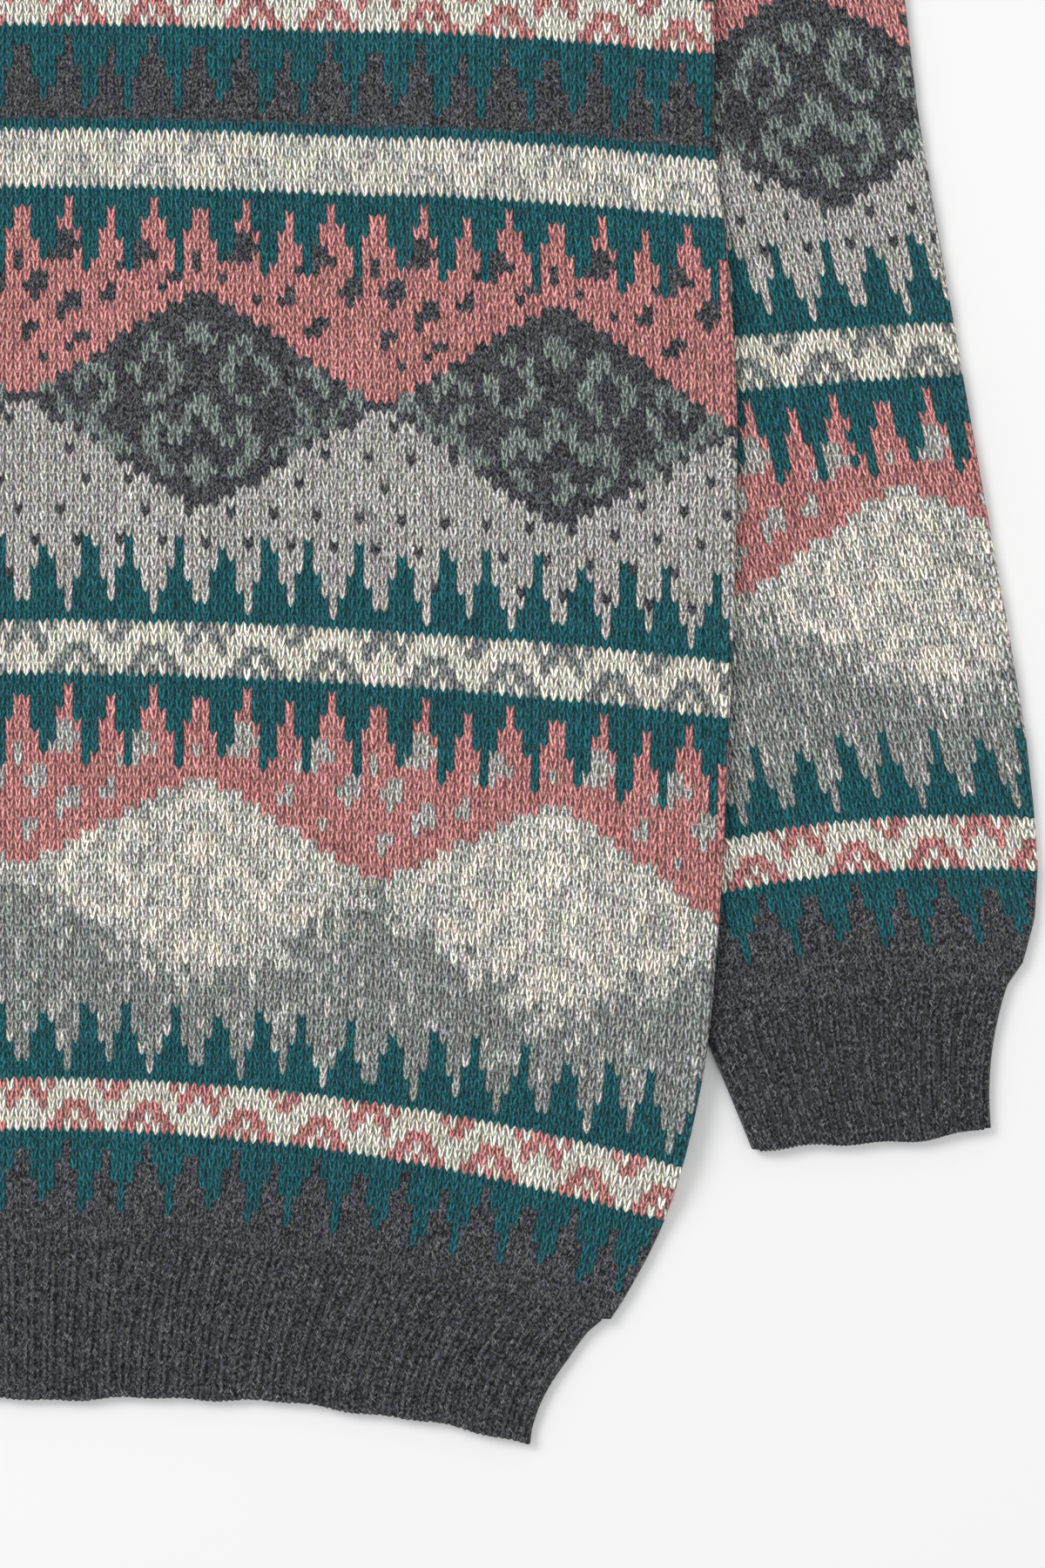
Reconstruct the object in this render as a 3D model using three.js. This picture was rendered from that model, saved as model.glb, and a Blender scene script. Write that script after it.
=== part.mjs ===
// A fair isle jumper laid flat on a surface with its front up: front and back panels that lie on
// each other, ribbed hem and neckband, and two sleeves whose inner sides are tucked under the body.
// Millimetres. X runs across the body from its centre line, Y from the hem towards the neck, Z up.
import * as THREE from "three";

// Cloth
const wall = 2.6; // knitted wall with its floats
const seam = 0.3; // gap between pieces at a seam and between layers
const lip = 0.9; // what is left of a wall's thickness at a sewn edge
const bandWall = 4.2; // the neckband is doubled
const ridge = 0.5; // height of a rib above the wall's middle
const ribPitch = 7.5; // one rib of the hem, two knit wales and one purl wale

// Body
const shoulderTop = 740; // from the hem's middle to the shoulder at the neck
const shoulderDrop = 40;
const shoulderHalf = 270.3; // from the centre line to the end of the shoulder
const neckHalf = 95;
const frontNeckDepth = 85;
const backNeckDepth = 22;
const lastRow = 165; // knitted rows from the rib to the shoulder at the neck
const rowPitch = 4.1; // one knitted row
const loft = 1.1; // how far the front stands off the back

// Ribs
const hem = {
  height: 61,
  top: 225, // half widths
  bottom: 198.6,
  topDrop: 32.3, // how far the sides hang below the middle
  bottomDrop: 18.2,
  curve: 2.2,
  rim: 0.7, // share of the wall that is left at the lower edge
};
const cuff = {
  outerBottom: [379.1, 105.1],
  innerBottom: [285.4, 97.2],
  waist: 3, // how far the outer fold draws in between its ends
  bow: -1.5,
  ribPitch: 6.8,
  rim: 0.85,
};
const band = {
  half: 78,
  rise: 17,
  frontDepth: 74,
  backDepth: 13,
  liftShare: [0.35, 0.65],
  rim: 0.75,
};

// Body rows: height at the centre line, half width, and how far the side hangs below the centre
const bodyRows = [
  { row: 0, height: 61, half: 230, drop: 32.3 },
  { row: 11, height: 103.7, half: 250.5, drop: 36 },
  { row: 24, height: 154.7, half: 265.5, drop: 31 },
  { row: 36, height: 206, half: 271.8, drop: 25 },
  { row: 54, height: 280.2, half: 276.2, drop: 18 },
  { row: 70, height: 344.4, half: 278.6, drop: 16 },
  { row: 85, height: 407, half: 279, drop: 14 },
  { row: 98, height: 462.4, half: 275.2, drop: 13.4 },
  { row: 107, height: 500, half: 270.8, drop: 12.8 },
  { row: 116, height: 537.9, half: 270.3, drop: 12.6 },
  { row: lastRow, height: shoulderTop, half: shoulderHalf, drop: 12.6 },
];

// Sleeve rows: the fold on its outer side, its inner side, and the bow of the row between them
const sleeveRows = [
  { row: 2, outX: 385.5, outY: 161, inX: 263.4, inY: 149.5, bow: 1.5 },
  { row: 4, outX: 391.7, outY: 170, inX: 260.1, inY: 157.1, bow: 3 },
  { row: 8, outX: 396.2, outY: 187, inX: 257.2, inY: 174.4, bow: 5 },
  { row: 13, outX: 397.5, outY: 207.7, inX: 255.5, inY: 195.5, bow: 5.5 },
  { row: 18, outX: 396.1, outY: 227.5, inX: 252.8, inY: 214.2, bow: 5.5 },
  { row: 26, outX: 392.7, outY: 259.1, inX: 246.5, inY: 245.1, bow: 4 },
  { row: 37, outX: 384.9, outY: 306.3, inX: 233.4, inY: 293.4, bow: 2.5 },
  { row: 49, outX: 375.4, outY: 358, inX: 218.6, inY: 344.4, bow: 1.5 },
  { row: 64, outX: 364.5, outY: 420.2, inX: 203, inY: 406, bow: 1.5 },
  { row: 84, outX: 350.5, outY: 502.2, inX: 184.6, inY: 487.2, bow: 1.5 },
  { row: 95, outX: 345.1, outY: 548.4, inX: 177.4, inY: 530, bow: 2 },
];
const ringGap = 4; // rows further apart than this have one more ring between them
const swellFrom = 0.12; // share of the sleeve's width at its folds that stays flat under the body
// Above those rows the sleeve head fans out, its outer fold on a quarter ellipse to the shoulder
const headSteps = 6;
const headRows = 44;
const underarm = [171, 545];

// Soft creases of the front: a ridge or trough from one point to another
const frontCreases = [
  { x0: 110, y0: 560, x1: 150, y1: 120, width: 34, rise: -0.9 },
  { x0: 205, y0: 520, x1: 224, y1: 110, width: 26, rise: 1.3 },
  { x0: -125, y0: 600, x1: -152, y1: 150, width: 32, rise: -0.8 },
  { x0: -210, y0: 470, x1: -226, y1: 120, width: 28, rise: 1.2 },
  { x0: -40, y0: 640, x1: -70, y1: 330, width: 36, rise: 0.9 },
  { x0: 60, y0: 420, x1: 30, y1: 180, width: 30, rise: 0.7 },
];
// The cloth is level with a rib where they join, and swells just above it
const blouse = { rise: 1.9, above: 20, width: 17, fade: 14 };
// How fast the front's loft fades at its sides and its top edge
const edgeFade = { side: 7, swellSide: 12, top: 45 };

const clamp = THREE.MathUtils.clamp;
const smooth = (t) => THREE.MathUtils.smoothstep(t, 0, 1);

// One column of a table, as a smooth curve through its rows.
function along(table, column, at) {
  const last = table.length - 1;
  let i = 0;
  while (i < last - 1 && at > table[i + 1].row) i += 1;
  const slope = (p, q) => (table[q][column] - table[p][column]) / (table[q].row - table[p].row);
  const tangent = (p) => slope(Math.max(p - 1, 0), Math.min(p + 1, last));
  const span = table[i + 1].row - table[i].row;
  const u = (at - table[i].row) / span;
  const rest = 1 - u;
  return (
    table[i][column] * rest * rest * (1 + 2 * u) +
    table[i + 1][column] * u * u * (3 - 2 * u) +
    span * u * rest * (tangent(i) * rest - tangent(i + 1) * u)
  );
}

// The sleeve rows together with the fan of its head.
function wholeSleeve() {
  const from = sleeveRows.at(-1);
  const rows = [...sleeveRows];
  for (let k = 1; k <= headSteps; k += 1) {
    const turn = ((k / headSteps) * Math.PI) / 2;
    rows.push({
      row: from.row + (headRows * k) / headSteps,
      outX: shoulderHalf + (from.outX - shoulderHalf) * Math.cos(turn),
      outY: from.outY + (shoulderTop - shoulderDrop - from.outY) * Math.sin(turn),
      inX: THREE.MathUtils.lerp(from.inX, underarm[0], k / headSteps),
      inY: THREE.MathUtils.lerp(from.inY, underarm[1], k / headSteps),
      bow: from.bow * (1 - k / headSteps),
    });
  }
  return rows;
}
const sleeveTable = wholeSleeve();
const sleeveThick = 2 * wall + seam;

// The line on which the body climbs onto the sleeve: shoulder, sleeve head, inner side, cuff
const tuckLine = [
  [shoulderHalf, shoulderTop - shoulderDrop],
  ...sleeveTable.toReversed().map((r) => [r.inX, r.inY]),
  cuff.innerBottom,
];

function distanceTo(line, x, y) {
  let best = Infinity;
  for (let i = 0; i + 1 < line.length; i += 1) {
    const [ax, ay] = line[i];
    const [bx, by] = line[i + 1];
    const share = ((x - ax) * (bx - ax) + (y - ay) * (by - ay)) / ((bx - ax) ** 2 + (by - ay) ** 2);
    const t = clamp(share, 0, 1);
    best = Math.min(best, Math.hypot(x - ax - t * (bx - ax), y - ay - t * (by - ay)));
  }
  return best;
}

// How far right of the tuck line a point lies decides whether it is over the sleeve.
function overSleeve(x, y) {
  let right = false;
  for (let i = 0; i + 1 < tuckLine.length; i += 1) {
    const [ax, ay] = tuckLine[i];
    const [bx, by] = tuckLine[i + 1];
    if (ay > y !== by > y) right = x > ax + ((y - ay) * (bx - ax)) / (by - ay);
  }
  return right;
}

// The body's underside: on the floor, and on the sleeves near the sides.
const climb = 34; // the slope beside the sleeve
const shelf = 20; // how far the body stays up past the sleeve's edge
function lift(x, y) {
  const across = Math.abs(x);
  const full = sleeveThick + 1.5 * seam;
  if (overSleeve(across, y)) return full;
  return full * smooth((climb + shelf - distanceTo(tuckLine, across, y)) / climb);
}

function crease(c, x, y) {
  const line = [
    [c.x0, c.y0],
    [c.x1, c.y1],
  ];
  return c.rise * Math.exp(-((distanceTo(line, x, y) / c.width) ** 2));
}

function swell(above) {
  const rise = blouse.rise * Math.exp(-(((above - blouse.above) / blouse.width) ** 2));
  return rise * smooth(above / blouse.fade);
}

// How far the front stands off the back, fading at the panel's edges.
function frontLoft(x, y, share, above, below) {
  const toSide = 1 - Math.abs(share);
  const edge = smooth(toSide * edgeFade.side) * smooth(below / edgeFade.top);
  const creases = frontCreases.reduce((sum, c) => sum + crease(c, x, y), 0);
  const flat = (loft + creases) * edge * smooth(above / blouse.fade);
  return Math.max(0, flat + swell(above) * smooth(toSide * edgeFade.swellSide));
}

// Closes two grids of points, the wall's outer and inner face, into one solid.
// A grid is a list of rows, each a list of points. A tube's rows close on themselves.
function closeWall(outer, inner, isTube) {
  const rows = outer.length;
  const columns = outer[0].length;
  const positions = [...outer.flat(), ...inner.flat()].flat();
  const id = (side, r, c) => side * rows * columns + r * columns + (c % columns);
  const indices = [];
  const quad = (a, b, c, d) => indices.push(a, b, c, a, c, d);
  const steps = isTube ? columns : columns - 1;
  for (let r = 0; r + 1 < rows; r += 1) {
    for (let c = 0; c < steps; c += 1) {
      quad(id(0, r, c), id(0, r, c + 1), id(0, r + 1, c + 1), id(0, r + 1, c));
      quad(id(1, r, c), id(1, r + 1, c), id(1, r + 1, c + 1), id(1, r, c + 1));
    }
    if (!isTube) {
      const end = columns - 1;
      quad(id(0, r, 0), id(0, r + 1, 0), id(1, r + 1, 0), id(1, r, 0));
      quad(id(0, r, end), id(1, r, end), id(1, r + 1, end), id(0, r + 1, end));
    }
  }
  for (let c = 0; c < steps; c += 1) {
    const top = rows - 1;
    quad(id(0, 0, c), id(1, 0, c), id(1, 0, c + 1), id(0, 0, c + 1));
    quad(id(0, top, c), id(0, top, c + 1), id(1, top, c + 1), id(1, top, c));
  }
  const geometry = new THREE.BufferGeometry();
  geometry.setAttribute("position", new THREE.Float32BufferAttribute(positions, 3));
  geometry.setIndex(indices);
  geometry.computeVertexNormals();
  return geometry;
}

const knit = {
  teal: { color: 0x1f5a5c, roughness: 0.95, metalness: 0 },
  charcoal: { color: 0x3a3b3f, roughness: 0.95, metalness: 0 },
};
const garment = new THREE.Group();
function addPiece(name, geometry, yarn) {
  const mesh = new THREE.Mesh(geometry, new THREE.MeshStandardMaterial(yarn));
  mesh.name = name;
  garment.add(mesh);
}

// A point of a body panel, from its share of the half width and its row.
function bodyPoint(share, row) {
  return [
    along(bodyRows, "half", row) * share,
    along(bodyRows, "height", row) - along(bodyRows, "drop", row) * share * share,
  ];
}

// The neckline is cut along straight steps of a half ellipse, which the neckband shares.
const neckSteps = 14;
const neckCorner = (k) => [-Math.cos((Math.PI * k) / neckSteps), Math.sin((Math.PI * k) / neckSteps)];
function neckPlace(across) {
  const k = Math.min(Math.floor(across * neckSteps), neckSteps - 1);
  const t = across * neckSteps - k;
  return neckCorner(k).map((value, i) => THREE.MathUtils.lerp(value, neckCorner(k + 1)[i], t));
}

// The panel's top edge: the neckline between the shoulders, and the shoulder line.
function topEdge(x, neckDepth) {
  const across = Math.abs(x);
  if (across < neckHalf) return shoulderTop - neckDepth * Math.sqrt(1 - (across / neckHalf) ** 2);
  return shoulderTop - (shoulderDrop * (across - neckHalf)) / (shoulderHalf - neckHalf);
}

// The row at which a column meets the top edge, found by halving.
const search = { below: 9, above: 6, halvings: 30 };
function topRow(share, neckDepth) {
  let [low, high] = [bodyRows.at(-2).row - search.below, lastRow + search.above];
  for (let k = 0; k < search.halvings; k += 1) {
    const row = (low + high) / 2;
    const [x, y] = bodyPoint(share, row);
    if (y < topEdge(x, neckDepth)) low = row;
    else high = row;
  }
  return low;
}

const neckCorners = [7, 8, 9, 10, 11, 12, 13, 14]; // from the centre line to the shoulder
const neckShares = neckCorners.map((k) => (neckCorner(k)[0] * neckHalf) / shoulderHalf);
const sideShares = [0.42, 0.5, 0.57, 0.63, 0.69, 0.75, 0.81, 0.87, 0.93, 0.984, 1];
const halfShares = [...neckShares.slice(1), ...sideShares];
const shares = [...halfShares.map((s) => -s).reverse(), 0, ...halfShares];
const rowShares = [
  0, 0.02, 0.045, 0.075, 0.11, 0.15, 0.2, 0.25, 0.3, 0.35, 0.4, 0.45, 0.5, 0.55, 0.6, 0.65, 0.7, 0.75,
  0.8, 0.85, 0.9, 0.95, 0.992, 1,
];

function panel(name, neckDepth, isFront) {
  const outer = [];
  const inner = [];
  rowShares.forEach((rowShare, r) => {
    const outerRow = [];
    const innerRow = [];
    shares.forEach((share, c) => {
      const top = topRow(share, neckDepth);
      const [x, y] = bodyPoint(share, top * rowShare);
      const [, hemY] = bodyPoint(share, 0);
      const atEdge = c === 0 || c === shares.length - 1 || r === rowShares.length - 1;
      const thick = atEdge ? lip : wall;
      const base = lift(x, y);
      const rise = isFront ? frontLoft(x, y, share, y - hemY, topEdge(x, neckDepth) - y) : 0;
      const middle = base + wall + (isFront ? seam + rise : 0);
      innerRow.push([x, y, middle]);
      outerRow.push([x, y, isFront ? middle + thick : middle - thick]);
    });
    outer.push(outerRow);
    inner.push(innerRow);
  });
  const geometry = isFront ? closeWall(outer, inner, false) : closeWall(inner, outer, false);
  addPiece(name, geometry, knit.teal);
}

// The hem rib below a panel. Its ribs are raised on the front and plain where the back rests.
const plainSteps = 28;
function hemRib(name, isFront) {
  const ribs = Math.round((2 * hem.bottom) / ribPitch);
  const count = isFront ? 2 * ribs : plainSteps;
  const shareSteps = [0, 0.3, 0.65, 0.97, 1];
  const outer = [];
  const inner = [];
  for (const share of shareSteps.toReversed()) {
    const half = hem.bottom + (hem.top - hem.bottom) * (1 - share) ** hem.curve;
    const drop = THREE.MathUtils.lerp(hem.topDrop, hem.bottomDrop, share);
    const outerRow = [];
    const innerRow = [];
    for (let k = 0; k <= count; k += 1) {
      const across = (2 * k) / count - 1;
      const x = half * across;
      const fall = drop * Math.abs(across) ** (2 + share);
      const y = (hem.height - seam) * (1 - share) - fall;
      const atEdge = k === 0 || k === count;
      const wave = isFront && k % 2 ? ridge : isFront ? -ridge : 0;
      const rim = share === 1 ? hem.rim : 1;
      const thick = atEdge ? lip : (wall + wave) * rim;
      const middle = lift(x, y) + wall + (isFront ? seam : 0);
      innerRow.push([x, y, middle]);
      outerRow.push([x, y, isFront ? middle + thick : middle - (atEdge ? lip : wall)]);
    }
    outer.push(outerRow);
    inner.push(innerRow);
  }
  const geometry = isFront ? closeWall(outer, inner, false) : closeWall(inner, outer, false);
  addPiece(name, geometry, knit.charcoal);
}

// The places around a flattened tube: along its top from one fold to the other, round the fold,
// and back along its underside. across runs from 0 at the left fold to 1 at the right one.
const foldSteps = 4;
function ringPlaces(topSteps, underSteps) {
  const places = [];
  for (let k = 0; k <= topSteps; k += 1) places.push({ across: k / topSteps, turn: 90, wave: k % 2 });
  for (let k = 1; k < foldSteps; k += 1) places.push({ across: 1, turn: 90 - (180 * k) / foldSteps });
  for (let k = 0; k <= underSteps; k += 1) places.push({ across: 1 - k / underSteps, turn: -90 });
  for (let k = 1; k < foldSteps; k += 1) places.push({ across: 0, turn: -90 - (180 * k) / foldSteps });
  return places;
}

// One ring of a flattened tube between two points of the plan, lying on the floor. rim thins the
// wall, ribs is the height of the ribs on its top, and rise lifts the middle of its top.
function flatRing(places, left, right, bow, { rim = 1, ribs = 0, rise = 0 }) {
  const outerRadius = wall + seam / 2;
  const innerRadius = seam / 2;
  const [dx, dy] = [right[0] - left[0], right[1] - left[1]];
  const long = Math.hypot(dx, dy);
  const [ux, uy] = [dx / long, dy / long];
  const rings = [[], []];
  for (const { across, turn, wave } of places) {
    const angle = THREE.MathUtils.degToRad(turn);
    const inset = THREE.MathUtils.lerp(outerRadius, long - outerRadius, across);
    const lean = 4 * bow * across * (1 - across);
    const isTop = turn === 90;
    const fade = isTop ? smooth(5 * (Math.min(across, 1 - across) - swellFrom)) : 0;
    const onRibs = isTop && across > 0 && across < 1;
    const wavy = onRibs ? (wave ? ribs : -ribs) : 0;
    [outerRadius * rim + wavy, innerRadius].forEach((radius, side) => {
      const reach = inset + radius * Math.cos(angle);
      rings[side].push([
        left[0] + ux * reach - uy * lean,
        left[1] + uy * reach + ux * lean,
        Math.max(0, outerRadius + radius * Math.sin(angle)) + rise * fade,
      ]);
    });
  }
  return rings;
}

// A tube's two grids from its rings. side is 1 for the wearer's left and -1 for the right.
function tube(name, side, rings, yarn) {
  const flip = (points) => (side > 0 ? points : points.map(([x, y, z]) => [-x, y, z]).reverse());
  const outer = rings.map(([o]) => flip(o));
  const inner = rings.map(([, i]) => flip(i));
  addPiece(name, closeWall(outer, inner, true), yarn);
}

function sleeve(name, side) {
  const places = ringPlaces(9, 5);
  const first = sleeveRows[0].row;
  const rows = [first];
  sleeveRows.slice(1).forEach(({ row }, i) => {
    const from = sleeveRows[i].row;
    if (row - from > ringGap) rows.push((from + row) / 2);
    rows.push(row);
  });
  rows.push(...sleeveTable.slice(sleeveRows.length).map((r) => r.row));
  const rings = rows.map((row) => {
    const at = (column) => along(sleeveTable, column, row);
    const left = [at("inX"), at("inY")];
    const right = [at("outX"), at("outY")];
    return flatRing(places, left, right, at("bow"), { rise: swell((row - first) * rowPitch) });
  });
  tube(name, side, rings, knit.teal);
}

function cuffRib(name, side) {
  const wrist = sleeveRows[0];
  const wide = wrist.outX - wrist.inX;
  const places = ringPlaces(2 * Math.round(wide / cuff.ribPitch), 10);
  const rings = [1, 0.97, 0.5, 0].map((share) => {
    const mix = (from, to) => THREE.MathUtils.lerp(from, to, share);
    const waist = cuff.waist * 4 * share * (1 - share);
    const left = [mix(wrist.inX, cuff.innerBottom[0]), mix(wrist.inY - seam, cuff.innerBottom[1])];
    const right = [
      mix(wrist.outX, cuff.outerBottom[0]) - waist,
      mix(wrist.outY - seam, cuff.outerBottom[1]),
    ];
    const bow = mix(wrist.bow, cuff.bow);
    return flatRing(places, left, right, bow, { rim: share === 1 ? cuff.rim : 1, ribs: ridge });
  });
  tube(name, side, rings, knit.charcoal);
}

// The neckband: a flattened ring whose front dips along the front neckline.
function neckband() {
  const places = ringPlaces(5 * neckSteps, 2 * neckSteps);
  const radius = (bandWall + seam) / 2;
  const backMiddle = bandWall / 2;
  const rings = [0, 0.5, 0.94, 1].map((share) => {
    const mix = (from, to) => THREE.MathUtils.lerp(from, to, share);
    const outer = [];
    const inner = [];
    const half = mix(neckHalf - seam, band.half);
    for (const { across, turn, wave } of places) {
      const [sideways, round] = neckPlace(across);
      const isFront = turn > 0;
      const frontDepth = mix(frontNeckDepth - seam, band.frontDepth);
      const backDepth = mix(backNeckDepth - seam, band.backDepth);
      const depth = turn === 90 ? frontDepth : turn === -90 ? backDepth : 0;
      const angle = THREE.MathUtils.degToRad(turn);
      const [low, high] = band.liftShare;
      const onBack = 1 - smooth((round - low) / (high - low));
      const frontMiddle = wall + seam + backMiddle + (bandWall - wall) * onBack;
      const foldMiddle = backMiddle + radius + radius * Math.sin(angle);
      const middle = turn === 90 ? frontMiddle : turn === -90 ? backMiddle : foldMiddle;
      const x = half * sideways;
      const y = shoulderTop + seam + mix(0, band.rise) - depth * round;
      const outward = Math.cos(angle) * radius * Math.SQRT1_2;
      const rib = isFront && turn === 90 && round > 0 ? (wave ? ridge : -ridge) : 0;
      const rim = share === 1 ? band.rim : 1;
      [1, -1].forEach((face) => {
        const reach = ((bandWall * rim) / 2 + (face > 0 ? rib : 0)) * face;
        const out = turn === 90 || turn === -90 ? 0 : Math.cos(angle) * reach * Math.SQRT1_2 + outward;
        const point = [x + out, y + Math.abs(out), middle + Math.sin(angle) * reach];
        (face > 0 ? outer : inner).push(point);
      });
    }
    return [outer, inner];
  });
  tube("neckband", 1, rings, knit.charcoal);
}

panel("front", frontNeckDepth, true);
panel("back", backNeckDepth, false);
hemRib("hem_rib_front", true);
hemRib("hem_rib_back", false);
sleeve("sleeve_left", 1);
sleeve("sleeve_right", -1);
cuffRib("cuff_left", 1);
cuffRib("cuff_right", -1);
neckband();

// The origin is under the middle of the whole garment.
const box = new THREE.Box3().setFromObject(garment);
garment.position.y = -(box.min.y + box.max.y) / 2;
garment.updateMatrixWorld(true);

export default garment;
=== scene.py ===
"""A fair isle jumper laid flat with its front up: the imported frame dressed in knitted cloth.

Sizes are millimetres in the garment's own frame, X across from the centre line and Y up from the
hem, as in the part's source. place() moves a point into the row frame in metres.
"""

import math

import bpy
import numpy as np
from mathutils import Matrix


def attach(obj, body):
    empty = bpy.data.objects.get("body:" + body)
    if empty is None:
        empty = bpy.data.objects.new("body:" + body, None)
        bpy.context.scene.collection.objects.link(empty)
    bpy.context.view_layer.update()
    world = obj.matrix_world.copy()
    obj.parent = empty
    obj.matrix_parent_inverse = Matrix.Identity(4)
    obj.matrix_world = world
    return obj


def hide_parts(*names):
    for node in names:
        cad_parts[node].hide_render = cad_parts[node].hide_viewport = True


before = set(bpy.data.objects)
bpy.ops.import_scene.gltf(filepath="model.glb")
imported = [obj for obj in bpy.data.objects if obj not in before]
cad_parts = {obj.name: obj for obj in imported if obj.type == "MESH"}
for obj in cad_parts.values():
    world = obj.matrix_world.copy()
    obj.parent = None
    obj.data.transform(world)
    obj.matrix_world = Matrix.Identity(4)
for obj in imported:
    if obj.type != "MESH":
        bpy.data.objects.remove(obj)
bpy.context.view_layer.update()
random = np.random.RandomState(11)

# Cloth, as in the part's source
WALL = 2.6
SEAM = 0.3
LIP = 0.9
LOFT = 1.1
RIB_FADE = 14.0  # how far above a rib the cloth has risen off what is under it
TUBE = 2 * WALL + SEAM
SHOULDER_TOP = 740.0
SHOULDER_DROP = 40.0
SHOULDER_HALF = 270.3
NECK_HALF = 95.0
FRONT_NECK = 85.0
BACK_NECK = 22.0
BAND_WALL = 4.2
HEM_HEIGHT = 61.0
MIDDLE_Y = 370.9
EDGE_ROUND = 2.6  # how far in from an edge the wall is rounded
CLIMB, SHELF = 34.0, 20.0  # the body climbs onto a sleeve over this width, beside this margin
BLOUSE_RISE, BLOUSE_ABOVE, BLOUSE_WIDTH = 1.9, 20.0, 17.0  # the swell above a rib
TOP_FADE = 45.0  # the front comes down to the back over this height below its top edge
SIDE_FADE, SWELL_FADE = 7, 12  # at the sides, over a 7th of the half width, and the swell a 12th

# Half widths of the hem rib, up to 3 mm more than its solid's, and how far its sides hang, at its
# top and at its cast-on edge
HEM_TOP, HEM_BOTTOM = 226.5, 198.6
HEM_TOP_DROP, HEM_BOTTOM_DROP = 32.3, 18.2
HEM_CURVE = 1.75

# Stitches
STITCH = 3.335
ROW = 4.08
DEPTH = 2.3  # height of a stitch's V above its row
WEDGE = 0.5  # how much of the body's taper the stitches follow
SHIFT = 0.16  # how far a stitch strays sideways
ROW_SHIFT = 0.045  # and along its wale, in rows
BODY_ROW_COUNT = 172
HALVINGS = 40  # of a search for a place
BODY_HALF, BODY_WIDEST = 279.0, 279.4  # the rows' widest half width, and one that holds any curve

# Strips of the bake map for a piece's outside and inside, across, and the plan boxes they show
OUTSIDE_STRIP, INSIDE_STRIP = (0.01, 0.86), (0.88, 0.99)
BODY_BOX = (-280, 280, 25, 742)
SLEEVE_BOX = (170, 398, 138, 702)
HEM_BOX = (-HEM_TOP, HEM_TOP, -20, 62)

# Body rows: height at the centre line, half width, and how far the side hangs below the centre
BODY_COLUMNS = ("height", "half", "drop")
BODY_ROWS = (
    (61.0, 230.0, 32.3),
    (103.7, 250.5, 36.0),
    (154.7, 265.5, 31.0),
    (206.0, 271.8, 25.0),
    (280.2, 276.2, 18.0),
    (344.4, 278.6, 16.0),
    (407.0, 279.0, 14.0),
    (462.4, 275.2, 13.4),
    (500.0, 270.8, 12.8),
    (537.9, 270.3, 12.6),
    (760.0, 270.3, 12.6),
)

# Sleeve rows: the fold on its outer side, its inner side, and the bow of the row between them
SLEEVE_COLUMNS = ("out_x", "out_y", "in_x", "in_y", "bow")
SLEEVE_ROWS = (
    (385.5, 161.0, 263.4, 149.5, 1.5),
    (391.7, 170.0, 260.1, 157.1, 3.0),
    (396.2, 187.0, 257.2, 174.4, 5.0),
    (397.5, 207.7, 255.5, 195.5, 5.5),
    (396.1, 227.5, 252.8, 214.2, 5.5),
    (392.7, 259.1, 246.5, 245.1, 4.0),
    (384.9, 306.3, 233.4, 293.4, 2.5),
    (375.4, 358.0, 218.6, 344.4, 1.5),
    (364.5, 420.2, 203.0, 406.0, 1.5),
    (350.5, 502.2, 184.6, 487.2, 1.5),
    (345.1, 548.4, 177.4, 530.0, 2.0),
)
UNDERARM = (171.0, 545.0)
CUFF_OUTER = (379.1, 105.1)
CUFF_INNER = (285.4, 97.2)
CUFF_BOW = -1.5
CUFF_WAIST = 3.0  # how far the outer fold draws in between its ends

# Height of chosen stitch rows on the body's centre line and on the sleeve's middle line
ROW_COLUMNS = ("row", "body", "sleeve")
ROW_HEIGHTS = (
    (-3, 48.6, 149.0),
    (0, 61.2, 162.5),
    (3, 73.8, 176.0),
    (11, 105.1, 205.8),
    (16, 124.8, 226.0),
    (24, 154.7, 260.0),
    (45, 243.1, 355.3),
    (54, 283.2, 398.0),
    (59, 303.6, 418.4),
    (67, 337.6, 454.0),
    (93, 440.6, 560.5),
    (101, 473.3, 593.5),
    (108, 504.2, 622.5),
    (121, 556.9, 675.5),
    (175, 780.8, 895.5),
)
SLEEVE_MIDDLE_X = 334.9
WALE_X, WALE_Y, WALE_LEAN = 320.6, 456.3, 0.222  # the wale that runs down the sleeve's middle


def smooth(t):
    """A soft step from 0 to 1."""
    t = np.clip(t, 0.0, 1.0)
    return t * t * (3 - 2 * t)


def curve(xs, ys, at):
    """A smooth curve through points, with the slopes of its chords."""
    xs, ys, at = np.asarray(xs, float), np.asarray(ys, float), np.asarray(at, float)
    slope = np.gradient(ys, xs)
    i = np.clip(np.searchsorted(xs, at) - 1, 0, len(xs) - 2)
    span = xs[i + 1] - xs[i]
    u = np.clip((at - xs[i]) / span, 0, 1)
    rest = 1 - u
    ends = ys[i] * rest**2 * (1 + 2 * u) + ys[i + 1] * u**2 * (3 - 2 * u)
    return ends + span * u * rest * (slope[i] * rest - slope[i + 1] * u)


def column(table, names, name):
    """One named column of a table."""
    return [line[names.index(name)] for line in table]


def body_column(name, height):
    heights = column(BODY_ROWS, BODY_COLUMNS, "height")
    return curve(heights, column(BODY_ROWS, BODY_COLUMNS, name), height)


def row_height(row, which):
    rows = column(ROW_HEIGHTS, ROW_COLUMNS, "row")
    return np.interp(row, rows, column(ROW_HEIGHTS, ROW_COLUMNS, which))


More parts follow.
